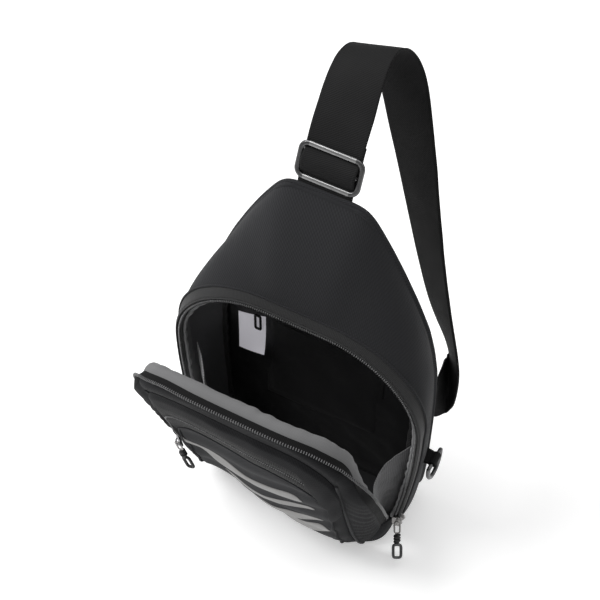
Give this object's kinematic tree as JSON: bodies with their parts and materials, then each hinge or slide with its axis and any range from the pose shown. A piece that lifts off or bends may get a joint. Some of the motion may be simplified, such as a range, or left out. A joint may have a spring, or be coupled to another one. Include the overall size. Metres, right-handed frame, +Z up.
{
  "type": "sling bag",
  "caption": "Small teardrop sling bag standing upright with its zipped front flap leaning open, a front pocket, and a wide webbing strap looped up behind it.",
  "frame": {"origin": "on the floor under the body, on the middle plane of the bag, below the line of the zip opening", "axes": "+Z up along the bag's height, -Y out of the front, +X to the right seen from the front"},
  "size_m": [0.2007, 0.2021, 0.3617],
  "materials": {
    "shell_fabric": "matt charcoal-black twill",
    "webbing": "ribbed black webbing with a slight sheen",
    "zip_tape": "fine woven black tape",
    "zip_teeth": "moulded dark nylon",
    "dark_lining": "smooth black polyester lining",
    "grey_lining": "mid grey woven lining",
    "reflective_print": "silver-grey reflective film with a soft sheen",
    "gunmetal": "satin gunmetal plating",
    "bright_metal": "worn nickel plating",
    "pull_rubber": "soft matt black rubber",
    "foam": "open-cell foam",
    "label_cloth": "white satin label cloth, blank"
  },
  "bodies": {
    "bag_body": {"bottom_panel": "shell_fabric", "back_lining": "dark_lining", "back_foam": "foam", "back_panel": "shell_fabric", "body_zip_teeth": "zip_teeth", "body_zip_tape": "zip_tape", "upper_front_panel": "shell_fabric", "right_gusset": "shell_fabric", "left_gusset": "shell_fabric", "right_side_lining": "grey_lining", "left_side_lining": "grey_lining", "right_seam_binding": "dark_lining", "left_seam_binding": "dark_lining", "inner_pocket_tape": "dark_lining", "inner_pocket_teeth": "zip_teeth", "inner_pocket_panel": "dark_lining", "care_label": "label_cloth", "ring_tab": "webbing", "strap_webbing": "webbing", "strap_sewn_end": "webbing"},
    "flap": {"flap_zip_teeth": "zip_teeth", "flap_zip_tape": "zip_tape", "flap_lining_facing": "grey_lining", "flap_front_panel": "shell_fabric", "flap_right_gusset": "shell_fabric", "flap_left_gusset": "shell_fabric", "flap_lining": "dark_lining", "front_pocket": "shell_fabric", "pocket_top_band": "shell_fabric", "pocket_zip_tape": "zip_tape", "pocket_zip_coil": "zip_teeth", "reflective_stripe_1": "reflective_print", "reflective_stripe_2": "reflective_print", "reflective_stripe_3": "reflective_print", "reflective_stripe_4": "reflective_print"},
    "main_slider": {"main_slider": "bright_metal"},
    "main_pull": {"main_pull_link": "bright_metal", "main_pull_knot": "pull_rubber", "main_pull_loop": "pull_rubber"},
    "pocket_slider": {"pocket_slider": "gunmetal"},
    "pocket_pull": {"pocket_pull_link": "bright_metal", "pocket_pull_knot": "pull_rubber", "pocket_pull_loop": "pull_rubber"},
    "inner_pocket_slider": {"inner_pocket_slider": "gunmetal"},
    "inner_pocket_pull": {"inner_pocket_pull": "pull_rubber"},
    "adjuster": {"adjuster_frame": "gunmetal", "adjuster_middle_bar": "gunmetal", "adjuster_webbing_turn": "webbing"},
    "d_ring": {"d_ring": "gunmetal"}
  },
  "joints": [
    {"name": "flap_hinge", "type": "hinge", "parent": "bag_body", "child": "flap", "pos_m": [0, 0, 0.018], "axis": [1, 0, 0], "range_deg": [-23.4, 20]},
    {"name": "main_slider_travel", "type": "slide", "parent": "bag_body", "child": "main_slider", "axis": [0.15, 0, 0.9887], "range_m": [0, 0.036]},
    {"name": "main_pull_swing", "type": "hinge", "parent": "main_slider", "child": "main_pull", "pos_m": [0.0824, -0.0059, 0.0216], "axis": [0.874, 0.486, 0], "range_deg": [-105, 0]},
    {"name": "pocket_slider_travel", "type": "slide", "parent": "flap", "child": "pocket_slider", "axis": [-0.2381, -0.2117, 0.9479], "range_m": [0, 0.03]},
    {"name": "pocket_pull_swing", "type": "hinge", "parent": "pocket_slider", "child": "pocket_pull", "pos_m": [-0.069, -0.05014, 0.07672], "axis": [0.9205, 0, 0.3907], "range_deg": [-110, 4]},
    {"name": "inner_slider_travel", "type": "slide", "parent": "bag_body", "child": "inner_pocket_slider", "axis": [1, 0, 0], "range_m": [0, 0.086]},
    {"name": "inner_pull_swing", "type": "hinge", "parent": "inner_pocket_slider", "child": "inner_pocket_pull", "pos_m": [-0.047, 0.0315, 0.149], "axis": [1, 0, 0], "range_deg": [-110, 0]},
    {"name": "adjuster_slide", "type": "slide", "parent": "bag_body", "child": "adjuster", "axis": [0, 0.4226, 0.9063], "range_m": [-0.002, 0.025]},
    {"name": "ring_swing", "type": "hinge", "parent": "bag_body", "child": "d_ring", "pos_m": [0.1002, 0.022, 0.086], "axis": [0, 1, 0], "range_deg": [-100, 6]}
  ]
}
